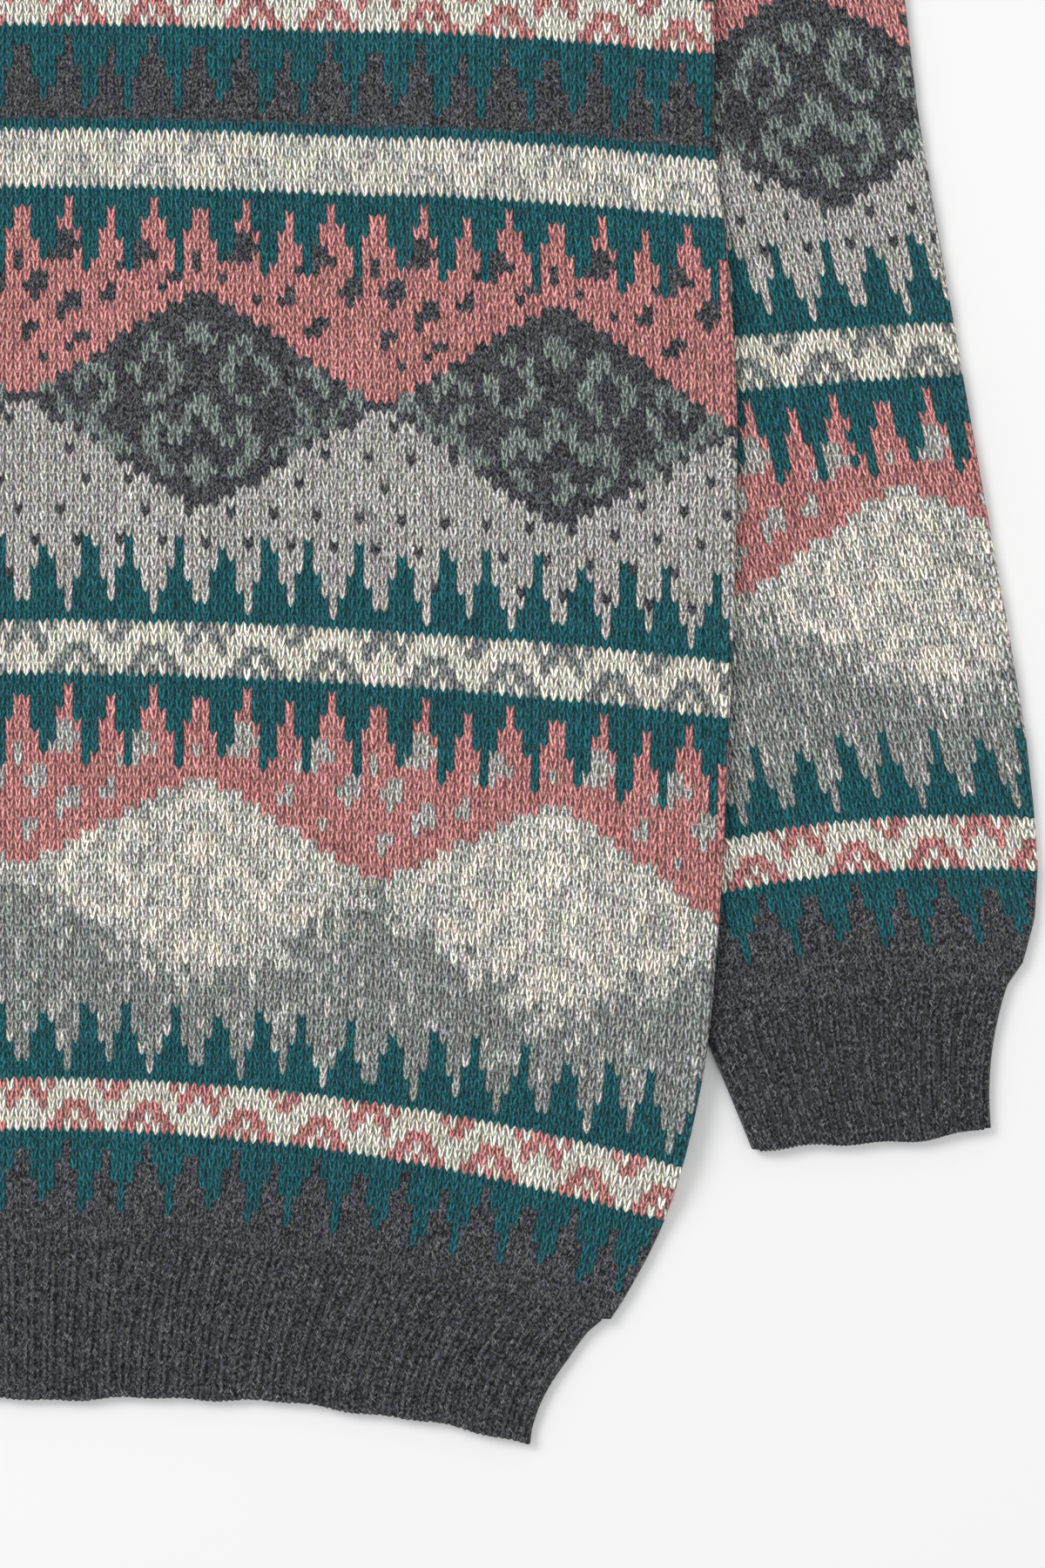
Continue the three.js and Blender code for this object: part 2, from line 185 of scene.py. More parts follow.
def top_edge(x, neck_depth):
    """The height of the neckline and the shoulders."""
    across = np.abs(x)
    round_part = np.sqrt(np.maximum(0, 1 - (across / NECK_HALF) ** 2))
    shoulder = SHOULDER_TOP - SHOULDER_DROP * (across - NECK_HALF) / (SHOULDER_HALF - NECK_HALF)
    return np.where(across < NECK_HALF, SHOULDER_TOP - neck_depth * round_part, shoulder)


# The line on which the body climbs onto the sleeve
TUCK_LINE = np.array(
    [(SHOULDER_HALF, SHOULDER_TOP - SHOULDER_DROP), UNDERARM]
    + [(line[2], line[3]) for line in reversed(SLEEVE_ROWS)]
    + [CUFF_INNER]
)


def distance_to(line, x, y):
    """The distance to a line of straight stretches."""
    best = np.full(np.shape(x), np.inf)
    for (ax, ay), (bx, by) in zip(line[:-1], line[1:]):
        t = ((x - ax) * (bx - ax) + (y - ay) * (by - ay)) / ((bx - ax) ** 2 + (by - ay) ** 2)
        t = np.clip(t, 0, 1)
        best = np.minimum(best, np.hypot(x - ax - t * (bx - ax), y - ay - t * (by - ay)))
    return best


def lift(x, y):
    """The body's underside: on the floor, and on the sleeves near the sides."""
    full = TUBE + 1.5 * SEAM
    across = np.abs(x)
    tuck_x = np.interp(y, TUCK_LINE[::-1, 1], TUCK_LINE[::-1, 0])
    within = (y > CUFF_INNER[1]) & (y < SHOULDER_TOP - SHOULDER_DROP)
    over = (across > tuck_x) & within
    near = smooth((CLIMB + SHELF - distance_to(TUCK_LINE, across, y)) / CLIMB)
    return full * np.where(over, 1.0, near)


# Soft creases of the front: x0, y0, x1, y1, width and rise
CREASES = (
    (110, 560, 150, 120, 34, -0.9),
    (205, 520, 224, 110, 26, 1.3),
    (-125, 600, -152, 150, 32, -0.8),
    (-210, 470, -226, 120, 28, 1.2),
    (-40, 640, -70, 330, 36, 0.9),
    (60, 420, 30, 180, 30, 0.7),
)


def blouse(above):
    """The cloth swells just above a rib."""
    return BLOUSE_RISE * np.exp(-(((above - BLOUSE_ABOVE) / BLOUSE_WIDTH) ** 2))


def front_loft(x, y, share, above, from_top):
    """How far the front stands off the back, fading at the panel's edges. share is the place
    across the half width, above the height over the hem rib."""
    to_side = 1 - np.abs(share)
    edge = smooth(to_side * SIDE_FADE) * smooth(from_top / TOP_FADE)
    creases = sum(
        rise * np.exp(-((distance_to(((x0, y0), (x1, y1)), x, y) / width) ** 2))
        for x0, y0, x1, y1, width, rise in CREASES
    )
    whole = (LOFT + creases) * edge + blouse(above) * smooth(to_side * SWELL_FADE)
    return np.maximum(0, whole) * smooth(above / RIB_FADE)


# Yarns: how each looks in daylight, sRGB from 0 to 255, and how mixed its fibres are
YARN = {
    "teal": (17, 77, 84, 0.55),
    "charcoal": (52, 54, 59, 2.8),
    "rib": (45, 46, 51, 2.8),
    # groove is the rib yarn darkened as painted shade for the purl grooves, not a yarn of its own
    "groove": (40, 41, 46, 2.2),
    "pink": (174, 116, 114, 0.5),
    "light": (159, 157, 153, 0.65),
    "haze": (176, 175, 169, 0.8),
    "mid": (124, 129, 126, 0.8),
    "green": (108, 117, 113, 1.0),
    "cream": (203, 199, 186, 0.1),
    "blush": (212, 204, 190, 0.5),
    "ground": (118, 123, 122, 1.0),
    "pale": (167, 167, 163, 0.6),
    "inside": (70, 92, 96, 0.6),
}
NAMES = list(YARN)


def linear(srgb):
    c = np.asarray(srgb, float) / 255
    return np.where(c <= 0.04045, c / 12.92, ((c + 0.055) / 1.055) ** 2.4)


# Charts, drawn as strings of marks. The first string is the top row.
HALF = 21  # stitches from the middle of a diamond to the tip between two
# Rows of each stitch of a run of peaks, from one broad peak to the next
PEAK_HEIGHTS = (6, 3, 1, 2, 5, 7, 4, 0, 1, 4, 6, 3, 0, 3, 5, 7, 5, 3, 0, 4, 6)
PEAK_TOP = 7
WAVE = (
    "..x.xxxxx.x..xxxxx.x.",
    "x..xxxxxxx..xxxxxxx..",
    "xx.xx...xxxxxx...xx.x",
    "xxxx..x..xxxx..x..xxx",
    "xxx..x.x..xx..x.x..xx",
)
# Sprigs in the pink, which lean one way, and the row of the top string
SPRIG_TOP = 3
SPRIGS = (
    "....xx...............",
    "...xxxx......xx......",
    "...xxx......xxxx....x",
    "...........xxx......x",
    ".xx..............xx..",
    "xxx.......x.....xxx..",
    ".x...xx..xx......x...",
    "....xxx..............",
    "....x........xx......",
    "xx..........xx.......",
    "x.....xx.............",
    ".....xx......x.......",
    "..x..................",
)
# Scrolls in the dark diamonds, from the middle outwards
DARK_TOP = 7
DARK_SCROLL = (
    "xx...................",
    "xx..xx...............",
    "x..xxxx..............",
    "...xx.xx.............",
    "..xx...xx..xxx.......",
    "..xx...xx.xx.xx......",
    "...xx..x..x...x..xx..",
    "x...xxx...xx....xxx..",
    "xx.........xx..xx....",
    "xx..xx......xxxx.....",
    ".xxxxxx....xxx.......",
    "..xx.xx..xxx.........",
    ".....xx.xxx..........",
    "x...xx...............",
    "xx.xx................",
    "x....................",
)
# Scrolls in the pale diamonds, from the middle outwards
PALE_TOP = 7
PALE_SCROLL = (
    "xx...................",
    ".xx..................",
    "..xx..x..............",
    "x..x..xxx............",
    "xx....x.xx..xx.......",
    "xx.......xx.xxx......",
    "x..xx.....x...xx.....",
    "..xxxx...xx....xx....",
    ".xx..xx.xx.....xx....",
    ".x....xxx.....xx.....",
    ".xx....xx..xxxx......",
    "..xxx...xxxxx........",
    "....xx...............",
    "xx...xx..............",
    "xxx..................",
    ".xx..................",
)
REPEAT = 105  # rows before the sequence of bands starts again

# Rows at which the bands start, counted up from the rib
CHARCOAL_PEAKS = 3
PINK_WAVE = 11
PALE_LOW, PALE_MIDDLE, PALE_HIGH = 24, 36, 46
GREY_WAVE = 54
DARK_LOW, DARK_MIDDLE, DARK_HIGH = 67, 80, 93
CREAM_WAVE = 101
CHARCOAL_ROW = 107
# How many rows the zigzags beside the diamonds climb, from a diamond's tip to its middle
PINK_CLIMB, HAZE_CLIMB, DARK_CLIMB = 9, 9, 11
HAZE_START, HAZE_RAGGED = 34, 5  # the haze starts lower at a tip's side, on an uneven edge
PALE_FLECKS = 0.13  # share of grey stitches that are pale
DROPPED, BLUSH_DROPPED = 0.12, 0.14  # shares of marks left out


def chart_marks(chart, top, row, place):
    """Whether the chart has a mark at a row above its origin and a place from its middle."""
    marks = np.array([[mark != "." for mark in line] for line in chart])
    line = top - row
    inside = (line >= 0) & (line < len(chart)) & (place < marks.shape[1])
    picked = marks[np.clip(line, 0, len(chart) - 1), np.clip(place, 0, marks.shape[1] - 1)]
    return picked & inside


def peaks_from(base, row, within):
    """Whether a stitch is in the peaks that stand on a row."""
    heights = np.array(PEAK_HEIGHTS)[within]
    return (row >= base) & (row < base + PEAK_TOP) & (heights > row - base)


def spikes_down_from(base, row, within):
    heights = np.array(PEAK_HEIGHTS)[within]
    return (row >= base - PEAK_TOP) & (row < base) & (heights >= base - row)


def paint(yarn, where, name):
    yarn[where] = NAMES.index(name)


def paint_wave(yarn, base, row, within, dark):
    """A cream wave on a darker ground."""
    marks = chart_marks(WAVE, len(WAVE) - 1, row - base, within)
    here = (row >= base) & (row < base + len(WAVE))
    paint(yarn, here & marks, "cream")
    paint(yarn, here & ~marks, dark)


def paint_pale_diamonds(yarn, row, within, from_tip, noise):
    """Grey spikes, pale diamonds in a haze, and pink peaks with light sprigs."""
    zone = (row >= PALE_LOW) & (row < PALE_HIGH)
    grey = spikes_down_from(PALE_LOW, row, within) | zone
    paint(yarn, grey, "mid")
    paint(yarn, grey & (noise < PALE_FLECKS), "pale")
    haze_low = HAZE_START - HAZE_CLIMB * from_tip / HALF + HAZE_RAGGED * (noise - 0.5)
    paint(yarn, zone & (row > haze_low), "haze")
    place_across = np.floor(HALF - from_tip).astype(int)
    scroll = chart_marks(PALE_SCROLL, PALE_TOP, row - PALE_MIDDLE, place_across)
    paint(yarn, zone & scroll & (noise > BLUSH_DROPPED), "blush")
    pink_low = PALE_MIDDLE + PINK_CLIMB * from_tip / HALF
    pink = (zone & (row >= pink_low)) | (row == PALE_HIGH - 1)
    pink = pink | peaks_from(PALE_HIGH, row, within)
    paint(yarn, pink, "pink")
    sprigs = chart_marks(SPRIGS, SPRIG_TOP, row - PALE_HIGH, within)
    paint(yarn, pink & (row > pink_low + 2) & sprigs, "light")


def paint_dark_diamonds(yarn, row, within, from_tip, noise, flecks):
    """Light spikes with charcoal flecks, dark diamonds, and pink peaks with charcoal sprigs."""
    zone = (row >= DARK_LOW) & (row < DARK_HIGH)
    grey = spikes_down_from(DARK_LOW, row, within) | zone
    paint(yarn, grey, "light")
    flecked = grey & flecks & (row > DARK_LOW - PEAK_TOP)
    paint(yarn, flecked & (noise > DROPPED), "charcoal")
    climb = DARK_CLIMB * from_tip / HALF
    paint(yarn, zone & (row >= DARK_MIDDLE - climb), "charcoal")
    place_across = np.floor(HALF - from_tip).astype(int)
    scroll = chart_marks(DARK_SCROLL, DARK_TOP, row - DARK_MIDDLE, place_across)
    paint(yarn, zone & scroll & (noise > DROPPED), "green")
    pink = (zone & (row >= DARK_MIDDLE + climb)) | peaks_from(DARK_HIGH, row, within)
    paint(yarn, pink, "pink")
    sprigs = chart_marks(SPRIGS, SPRIG_TOP, row - DARK_HIGH, within)
    paint(yarn, pink & (row > DARK_MIDDLE + climb + 2) & sprigs, "charcoal")


def chart(stitch, row, noise):
    """The yarn of each stitch: its place from the centre line, its row from the rib, and a
    number from 0 to 1 for the scattered flecks."""
    row = np.where(row >= REPEAT + 2, row - REPEAT, row)
    yarn = np.full(np.shape(row), NAMES.index("teal"))
    within = np.mod(stitch, HALF)
    middle = np.mod(stitch + 0.5, 2 * HALF)
    from_tip = np.where(middle < HALF, middle, 2 * HALF - middle)
    flecks = (np.mod(row, 3) == 0) & (np.mod(stitch + 2 * (row // 3), 5) == 0)
    low_peaks = (row < CHARCOAL_PEAKS) | peaks_from(CHARCOAL_PEAKS, row, within)
    paint(yarn, low_peaks, "charcoal")
    paint_wave(yarn, PINK_WAVE, row, within, "pink")
    paint_pale_diamonds(yarn, row, within, from_tip, noise)
    paint_wave(yarn, GREY_WAVE, row, within, "ground")
    paint_dark_diamonds(yarn, row, within, from_tip, noise, flecks)
    paint_wave(yarn, CREAM_WAVE, row, within, "pale")
    paint(yarn, row == CHARCOAL_ROW, "charcoal")
    return yarn


def yarn_colours(yarn):
    """Linear colours of stitches, each a little lighter or darker than its neighbours."""
    table = np.array([linear(YARN[name][:3]) for name in NAMES])
    shade = 1 + 0.1 * random.standard_normal(len(yarn))
    tint = 1 + 0.03 * random.standard_normal((len(yarn), 3))
    return np.clip(table[yarn] * shade[:, None] * tint, 0, 1)


def yarn_mix(yarn):
    return np.array([YARN[name][3] for name in NAMES])[yarn]


def place(points):
    """Garment millimetres to row frame metres."""
    return (points - np.array([0, MIDDLE_Y, 0])) / 1000


MERGE_STEPS = 2000  # points are one when they round to the same 2000th of a millimetre


def grid_edges(points):
    """The four edges of a grid, in order round it."""
    return points[0], points[:, -1], points[-1, ::-1], points[::-1, 0]


class Skin:
    """Faces gathered from grids of points, merged where the points are the same."""

    def __init__(self):
        self.points = []
        self.faces = []
        self.uvs = []
        self.flat = []
        self.yarn = []
        self.count = 0

    def grid(self, points, uv, flat, yarn, flip=False):
        """Adds a grid of points with a value of each kind. yarn has one value for each face."""
        rows, columns = points.shape[:2]
        index = np.arange(rows * columns).reshape(rows, columns) + self.count
        corners = [index[:-1, :-1], index[:-1, 1:], index[1:, 1:], index[1:, :-1]]
        if flip:
            corners = corners[::-1]
        self.faces.append(np.stack(corners, axis=-1).reshape(-1, 4))
        self.points.append(points.reshape(-1, 3))
        self.uvs.append(uv.reshape(-1, 2))
        self.flat.append(flat.reshape(-1, 2))
        self.yarn.append(np.broadcast_to(yarn, (rows - 1, columns - 1)).reshape(-1))
        self.count += rows * columns
        return index

    def bridge(self, outer, inner, yarn):
        """Joins two rows of point numbers that run side by side."""
        points = np.concatenate(self.points)

        def shares(row):
            steps = np.linalg.norm(np.diff(points[row], axis=0), axis=1)
            run = np.concatenate([[0], np.cumsum(steps)])
            return run / max(run[-1], 1e-9)

        a, b = shares(outer), shares(inner)
        i = j = 0
        faces = []
        while i + 1 < len(outer) or j + 1 < len(inner):
            step_outer = j + 1 >= len(inner) or (i + 1 < len(outer) and a[i + 1] <= b[j + 1])
            if step_outer:
                faces.append((outer[i + 1], outer[i], inner[j], inner[j]))
                i += 1
            else:
                faces.append((outer[i], inner[j], inner[j + 1], inner[j + 1]))
                j += 1
        self.faces.append(np.array(faces))
        self.yarn.append(np.full(len(faces), yarn))

    def join_rims(self, outside, inside, yarns, is_front):
        """Joins the four edges of an outer grid of point numbers to those of an inner one."""
        for outer_row, inner_row, yarn in zip(grid_edges(outside), grid_edges(inside), yarns):
            pair = (outer_row, inner_row) if is_front else (inner_row, outer_row)
            self.bridge(*pair, NAMES.index(yarn))

    def merged_faces(self, points):
        """Faces on merged points: the point that stands for each, loops, their source points,
        where each face starts and which faces are kept."""
        faces = np.concatenate(self.faces)
        keys = np.round(points * MERGE_STEPS).astype(np.int64)
        _, first, same = np.unique(keys, axis=0, return_index=True, return_inverse=True)
        merged = same.reshape(-1)[faces]
        loops, starts, source, kept = [], [], [], []
        for number, (ids, raw) in enumerate(zip(merged, faces)):
            ring = [k for k in range(4) if ids[k] != ids[k - 1]]
            if len(ring) < 3 or len({int(ids[k]) for k in ring}) < len(ring):
                continue
            starts.append(len(loops))
            loops.extend(int(ids[k]) for k in ring)
            source.extend(int(raw[k]) for k in ring)
            kept.append(number)
        return first, loops, source, starts, kept

    def build(self, name, material):
        points = np.concatenate(self.points)
        yarn = np.concatenate(self.yarn)
        first, loops, source, starts, kept = self.merged_faces(points)
        mesh = bpy.data.meshes.new(name)
        mesh.vertices.add(len(first))
        mesh.vertices.foreach_set("co", place(points[first]).reshape(-1))
        mesh.loops.add(len(loops))
        mesh.loops.foreach_set("vertex_index", loops)
        mesh.polygons.add(len(starts))
        mesh.polygons.foreach_set("loop_start", starts)
        totals = np.diff(np.append(starts, len(loops)))
        mesh.polygons.foreach_set("loop_total", totals)
        mesh.polygons.foreach_set("use_smooth", np.full(len(starts), True))
        mesh.update(calc_edges=True)
        mesh.validate()
        for map_name, values in (("Stitch", self.uvs), ("OFBake", self.flat)):
            layer = mesh.uv_layers.new(name=map_name)
            layer.data.foreach_set("uv", np.concatenate(values)[source].reshape(-1))
        colours = np.ones((len(loops), 4))
        colours[:, :3] = np.repeat(yarn_colours(yarn[kept]), totals, axis=0)
        attribute = mesh.color_attributes.new(name="yarn", type="FLOAT_COLOR", domain="CORNER")
        attribute.data.foreach_set("color", colours.reshape(-1))
        mixed = mesh.attributes.new(name="mixed", type="FLOAT", domain="FACE")
        mixed.data.foreach_set("value", yarn_mix(yarn[kept]))
        mesh.materials.append(material)
        piece = bpy.data.objects.new(name, mesh)
        bpy.context.scene.collection.objects.link(piece)
        return piece


def new_material(name):
    material = bpy.data.materials.new(name)
    material.use_nodes = True
    nodes = material.node_tree.nodes
    shader = nodes["Principled BSDF"]
    return material, nodes, material.node_tree.links, shader


class Value:
    """A number in a shader, for ordinary arithmetic."""

    def __init__(self, tree, socket):
        self.tree = tree
        self.socket = socket

    def apply(self, operation, *others, swap=False):
        node = self.tree.nodes.new("ShaderNodeMath")
        node.operation = operation
        terms = [self, *others]
        if swap:
            terms.reverse()
        for socket, term in zip(node.inputs, terms):
            if isinstance(term, Value):
                self.tree.links.new(term.socket, socket)
            else:
                socket.default_value = term
        return Value(self.tree, node.outputs[0])

    def __add__(self, other):
        return self.apply("ADD", other)

    def __sub__(self, other):
        return self.apply("SUBTRACT", other)

    def __rsub__(self, other):
        return self.apply("SUBTRACT", other, swap=True)

    def __mul__(self, other):
        return self.apply("MULTIPLY", other)

    __radd__ = __add__
    __rmul__ = __mul__

    def between(self, low, high):
        return self.apply("MAXIMUM", low).apply("MINIMUM", high)


def noise(tree, vector, scale, detail, roughness=0.6):
    node = tree.nodes.new("ShaderNodeTexNoise")
    node.inputs["Scale"].default_value = scale
    node.inputs["Detail"].default_value = detail
    node.inputs["Roughness"].default_value = roughness
    tree.links.new(vector, node.inputs["Vector"])
    return Value(tree, node.outputs["Fac"])


# Unevenness of the wool: how fine it is, its detail and its roughness
UNEVENNESS = {
    "wander": (330.0, 2.0, 0.6),
    "stray": (290.0, 2.0, 0.6),
    "fuzz": (900.0, 2.0, 0.6),
    "mottle": (380.0, 3.0, 0.7),
    "clouds": (26.0, 3.0, 0.6),
}
FIBRE_GRAIN, FUZZ_GRAIN, MOTTLE_GRAIN, CLOUD_GRAIN = 4.0, 8.0, 3.0, 0.4
PLAIN_WOOL, MIXED_WOOL = 0.3, 0.5  # how grainy wool of one colour is, and how much more mixed is
FIBRE_HEIGHT, FUZZ_HEIGHT, STRAY_HEIGHT = 0.6, 0.9, 0.25
STRAY_TURNS, STRAY_LEVEL, STRAY_LIGHT = (62, -57), 0.58, 0.09


def uneven(tree, where, name):
    return noise(tree, where, *UNEVENNESS[name]) - 0.5


def stray_fibres(tree, where, turn, level):
    """Short pale fibres that lie at one angle, from 0 to 1."""
    lay = tree.nodes.new("ShaderNodeMapping")
    lay.vector_type = "TEXTURE"
    lay.inputs["Rotation"].default_value = (0, 0, math.radians(turn))
    lay.inputs["Scale"].default_value = (0.0022, 0.0006, 0.0022)
    tree.links.new(where, lay.inputs["Vector"])
    return ((noise(tree, lay.outputs["Vector"], 1.0, 2.0) - level) * 7).between(0.0, 1.0)


def knit_strand(tree, where, centre, narrow, slant, joint):
    """How high the yarn stands in a stitch, from 0 to 1, and the fibres that run along it."""
    nodes, links = tree.nodes, tree.links
    stitch_map = nodes.new("ShaderNodeUVMap")
    stitch_map.uv_map = "Stitch"
    split = nodes.new("ShaderNodeSeparateXYZ")
    links.new(stitch_map.outputs["UV"], split.inputs[0])
    leg = Value(tree, split.outputs["X"]) + uneven(tree, where, "wander") * 0.9
    row = Value(tree, split.outputs["Y"]) + uneven(tree, where, "stray") * 0.6

    # middle is 0 between two stitches and 1 on a stitch's centre line
    middle = 1 - (2 * (leg * 0.5).apply("FRACT") - 1).apply("ABSOLUTE")
    up = row.apply("FRACT")
    off = (middle - (centre + slant / 2 - slant * up)) * narrow
    core = (1 - off * off).between(0.0, 1.0)
    ends = 2 * up - 1
    strand = core * (1 - joint * ends * ends)

    # The fibres run along the strand, and differ from leg to leg
    line = nodes.new("ShaderNodeCombineXYZ")
    links.new((off * 2.2).socket, line.inputs[0])
    links.new((row * 0.9).socket, line.inputs[1])
    links.new((leg.apply("FLOOR") * 3.7).socket, line.inputs[2])
    return strand, noise(tree, line.outputs[0], 1.0, 3.0) - 0.5


def knit_material(name, depth, centre, narrow, slant, joint):
    """Wool in knit stitches, with mixed fibres and a soft nap. depth is how much painted shade
    darkens the gaps between strands and painted light brightens their middles. A strand lies at
    centre, from 0 between stitches to 1 on a stitch's middle, and is as much thinner as narrow
    says. slant is its lean, and joint is how much its ends sink."""
    material, nodes, links, shader = new_material(name)
    tree = material.node_tree
    where = nodes.new("ShaderNodeTexCoord").outputs["Object"]
    strand, fibres = knit_strand(tree, where, centre, narrow, slant, joint)
    fuzz = uneven(tree, where, "fuzz")
    mottle = uneven(tree, where, "mottle")
    clouds = uneven(tree, where, "clouds")
    first, second = (stray_fibres(tree, where, turn, STRAY_LEVEL) for turn in STRAY_TURNS)
    pale = first + second

    height = strand + fibres * FIBRE_HEIGHT + fuzz * FUZZ_HEIGHT + pale * STRAY_HEIGHT
    bump = nodes.new("ShaderNodeBump")
    bump.inputs["Strength"].default_value = 0.8
    bump.inputs["Distance"].default_value = 0.001
    links.new(height.socket, bump.inputs["Height"])
    links.new(bump.outputs["Normal"], shader.inputs["Normal"])

    mixture = nodes.new("ShaderNodeAttribute")
    mixture.attribute_name = "mixed"
    mixed = Value(tree, mixture.outputs["Fac"])
    speckle = fuzz * FUZZ_GRAIN + mottle * MOTTLE_GRAIN
    grain = fibres * FIBRE_GRAIN + speckle * (PLAIN_WOOL + MIXED_WOOL * mixed)
    # painted shade and painted light: (strand - 0.5) * depth darkens the gaps between strands and
    # brightens the strands' middles, on top of the wool's grain and clouds
    shade = grain + (strand - 0.5) * depth + clouds * CLOUD_GRAIN
    total = shade.apply("POWER", 2.0, swap=True)
    colour = nodes.new("ShaderNodeAttribute")
    colour.attribute_name = "yarn"
    tint = nodes.new("ShaderNodeVectorMath")
    tint.operation = "SCALE"
    links.new(colour.outputs["Color"], tint.inputs[0])
    links.new(total.between(0.15, 3.0).socket, tint.inputs["Scale"])
    fleck = nodes.new("ShaderNodeVectorMath")
    fleck.operation = "ADD"
    links.new(tint.outputs[0], fleck.inputs[0])
    links.new((pale * mixed * STRAY_LIGHT).socket, fleck.inputs[1])
    links.new(fleck.outputs[0], shader.inputs["Base Color"])
    shader.inputs["Roughness"].default_value = 0.95
    shader.inputs["Specular IOR Level"].default_value = 0.2
    shader.inputs["Sheen Weight"].default_value = 0.1
    shader.inputs["Sheen Roughness"].default_value = 0.5
    return material


# depth sets the painted shade in the gaps between strands and the painted light on the strands
knit = knit_material("wool_knit", depth=2.7, centre=0.57, narrow=2.1, slant=0.5, joint=0.55)
rib = knit_material("wool_rib", depth=2.4, centre=0.95, narrow=1.3, slant=0.1, joint=0.2)


def round_edge(distance):
    """The wall's thickness near a rounded edge."""
    t = np.clip(distance / EDGE_ROUND, 0, 1)
    return LIP + (WALL - LIP) * np.sqrt(1 - (1 - t) ** 2)


def jitter(shape, size):
    """Small uneven shifts of stitches, softened over their neighbours."""
    rough = random.standard_normal(shape)
    soft = rough.copy()
    for axis in (0, 1):
        soft += np.roll(soft, 1, axis) + np.roll(soft, -1, axis)
    return size * soft / soft.std()


def atlas(points, low_u, high_u, box):
    """Bake coordinates: the plan view, fitted into a strip of the map."""
    x0, x1, y0, y1 = box
    u = (points[..., 0] - x0) / (x1 - x0)
    v = (points[..., 1] - y0) / (y1 - y0)
    return np.stack([low_u + (high_u - low_u) * u, 0.01 + 0.98 * v], axis=-1)


def last_row(path, count, neck_depth):
    """The row at which each of a panel's wales meets its top edge, found by halving."""
    low, high = np.full(count, 60.0), np.full(count, float(BODY_ROW_COUNT))
    for _ in range(HALVINGS):
        row = (low + high) / 2
        x, y = path(row)[:2]
        below = y < top_edge(x, neck_depth)
        low, high = np.where(below, row, low), np.where(below, high, row)
    return low


CORNER_RISE, CORNER_FROM, CORNER_TALL = 1.4, 0.968, 9


def corner_rise(share, above):
    """A panel's lower corners are rounded where they stand out past the rib."""
    past = smooth((np.abs(share) - CORNER_FROM) / (1 - CORNER_FROM))
    return CORNER_RISE * past * (1 - smooth(above / CORNER_TALL))


def wale_place(stitch, row):
    """Where a place along a row of the body is, with the row's half width and stitch width."""
    y0 = row_height(row, "body")
    half = body_column("half", y0)
    drop = body_column("drop", y0)
    pitch = STITCH * (1 - WEDGE * (1 - half / BODY_HALF))
    x = np.clip(stitch * pitch, -half, half)
    return x, y0 - drop * (x / half) ** 2, half, pitch


def share_place(share, row):
    """Where a share of a body row's half width is."""
    y0 = row_height(row, "body")
    return share * body_column("half", y0), y0 - body_column("drop", y0) * share**2


def panel_middle(x, y, share, above, from_top, is_front):
    """The height of the middle of a panel's wall."""
    rise = front_loft(x, y, share, above, from_top) if is_front else 0
    return lift(x, y) + WALL + ((SEAM + rise) if is_front else 0)


def panel_outside(k, r, neck_depth, is_front):
    """The knitted face: a column of points for each half stitch, in a zigzag along each row."""
    stitch = k / 2.0
    last = last_row(lambda row: wale_place(stitch, row), len(k), neck_depth)
    rows, places = np.meshgrid(r.astype(float), stitch, indexing="ij")
    x, y, half, pitch = wale_place(places, rows)
    inside = np.clip((half - np.abs(places * pitch)) / (2 * pitch), 0, 1)
    zigzag = np.where(np.mod(k, 2) == 0, 0.5, -0.5) * DEPTH / ROW
    shift_x = jitter(rows.shape, SHIFT)
    shift_row = jitter(rows.shape, ROW_SHIFT)
    rows = np.clip(rows + (zigzag + shift_row) * (inside * (rows > 0)), 0, last)
    x, y, half, pitch = wale_place(places, rows)
    from_top = top_edge(x, neck_depth) - y
    x = x + shift_x * inside * np.clip(from_top / 6, 0, 1)
    _, hem_y, _, _ = wale_place(places, 0 * rows)
    share = x / half
    thick = round_edge(np.minimum(half - np.abs(x), np.maximum(from_top, 0)))
    above = np.maximum(y - hem_y, 0)
    y = y + corner_rise(share, above)
    middle = panel_middle(x, y, share, above, from_top, is_front)
    z = middle + thick if is_front else middle - thick
    return np.stack([x, y, np.maximum(z, 0)], axis=-1)


def panel_inside(neck_depth, is_front):
    """The plain face in the middle of the wall."""
    shares = np.sin(np.linspace(-1, 1, 61) * math.pi / 2)
    last = last_row(lambda row: share_place(shares, row), len(shares), neck_depth)
    share, part_up = np.meshgrid(shares, np.linspace(0, 1, 60))
    x, y = share_place(share, part_up * last)
    _, hem_y = share_place(share, 0 * part_up)
    from_top = top_edge(x, neck_depth) - y
    above = y - hem_y
    y = y + corner_rise(share, above)
    middle = panel_middle(x, y, share, above, from_top, is_front)
    return np.stack([x, y, middle + 0 * x], axis=-1)


def body_panel(name, is_front):
    """A body panel: knitted outer face, plain inner face, joined round the edge."""
    neck_depth = FRONT_NECK if is_front else BACK_NECK
    legs = 2 * int(math.ceil(BODY_WIDEST / STITCH))
    k = np.arange(-legs, legs + 1)
    r = np.arange(BODY_ROW_COUNT + 1)
    outer = panel_outside(k, r, neck_depth, is_front)
    stitches, face_rows = np.meshgrid(np.floor(k[:-1] / 2.0).astype(int), r[:-1])
    flecks = random.random_sample((len(r), legs + 2))
    fleck = flecks[face_rows, stitches + legs // 2]
    uv = np.stack(np.meshgrid(k + 0.0, r + 0.0), axis=-1)
    flat = atlas(outer, *OUTSIDE_STRIP, BODY_BOX)
    skin = Skin()
    outside = skin.grid(outer, uv, flat, chart(stitches, face_rows, fleck), not is_front)
    inner = panel_inside(neck_depth, is_front)
    uv = inner[..., :2] / np.array([STITCH / 2, ROW])
    flat = atlas(inner, *INSIDE_STRIP, BODY_BOX)
    inside = skin.grid(inner, uv, flat, NAMES.index("inside"), is_front)
    skin.join_rims(outside, inside, ("charcoal", "teal", "teal", "teal"), is_front)
    panel = skin.build(name, knit)
    return panel


